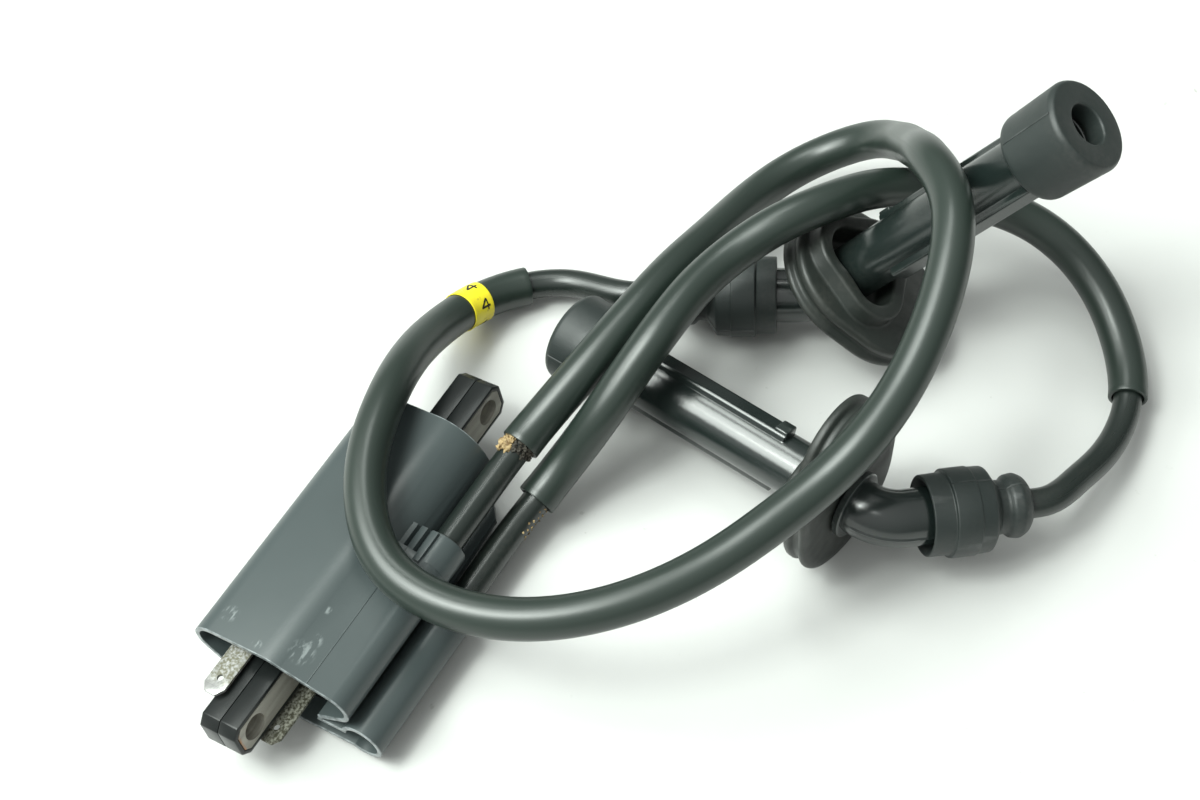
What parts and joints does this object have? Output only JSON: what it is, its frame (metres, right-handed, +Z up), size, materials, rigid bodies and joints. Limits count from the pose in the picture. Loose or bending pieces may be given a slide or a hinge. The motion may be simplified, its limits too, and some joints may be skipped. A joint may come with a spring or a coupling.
{
  "type": "ignition coil",
  "caption": "Potted ignition coil on a bare laminated core with mounting lugs, high-tension leads in rubber sleeves and angled spark plug caps with well seals.",
  "frame": {"origin": "centre of the base of the coil body's bounding box, on the surface it lies on, leads and plug caps left out", "axes": "+X along the core away from the end with the spade tabs, +Y to the left of that, away from the lead towers, +Z up"},
  "size_m": [0.2215, 0.1628, 0.0937],
  "materials": {
    "housing_plastic": "semi-gloss, lightly scuffed",
    "resin": "glossy poured resin",
    "core_steel": "bare, dull, slight rust",
    "cover_plastic": "satin black",
    "bobbin_plastic": "natural moulded plastic",
    "copper_wire": "enamelled copper wire",
    "tinned_brass": "tinned, partly tarnished",
    "bright_brass": "turned brass",
    "seal_rubber": "dusty moulded rubber",
    "lead_rubber": "smooth satin",
    "sleeve_rubber": "smooth satin, greyed",
    "marker_tape": "glossy yellow",
    "cap_plastic": "hard glossy black",
    "boot_rubber": "matte moulded rubber",
    "resistor_ceramic": "ceramic",
    "spring_steel": "bright drawn wire"
  },
  "bodies": {
    "coil": {"housing": "housing_plastic", "potting_resin": "resin", "core_laminations": "core_steel", "core_cover_near_left": "cover_plastic", "core_cover_near_right": "cover_plastic", "core_cover_far_left": "cover_plastic", "core_cover_far_right": "cover_plastic", "primary_bobbin": "bobbin_plastic", "primary_winding": "copper_wire", "secondary_bobbin": "bobbin_plastic", "secondary_winding": "copper_wire", "terminal_positive": "tinned_brass", "terminal_negative": "tinned_brass", "ht_contact_a": "bright_brass", "ht_contact_b": "bright_brass", "tower_seal_a": "seal_rubber", "tower_seal_b": "seal_rubber", "lead_a": "lead_rubber", "lead_b": "lead_rubber", "sleeve_a": "sleeve_rubber", "sleeve_b": "sleeve_rubber", "marker_band": "marker_tape", "cap_body_1": "cap_plastic", "lead_boot_1": "boot_rubber", "lead_screw_1": "bright_brass", "resistor_1": "resistor_ceramic", "contact_spring_1": "spring_steel", "plug_clip_1": "bright_brass", "plug_boot_1": "boot_rubber", "cap_body_2": "cap_plastic", "lead_boot_2": "boot_rubber", "lead_screw_2": "bright_brass", "resistor_2": "resistor_ceramic", "contact_spring_2": "spring_steel", "plug_clip_2": "bright_brass", "plug_boot_2": "boot_rubber"},
    "well_seal_1": {"well_seal_1": "seal_rubber"},
    "well_seal_2": {"well_seal_2": "seal_rubber"}
  },
  "joints": [
    {"name": "well_seal_1_turn", "type": "hinge", "parent": "coil", "child": "well_seal_1", "pos_m": [0.12322, -0.0566, 0.02311], "axis": [0.2577, -0.5283, 0.809], "range_deg": [-15, 15]},
    {"name": "well_seal_2_turn", "type": "hinge", "parent": "coil", "child": "well_seal_2", "pos_m": [0.06952, -0.08264, 0.01927], "axis": [0.1214, 0.9885, -0.0906], "range_deg": [-15, 15]}
  ]
}
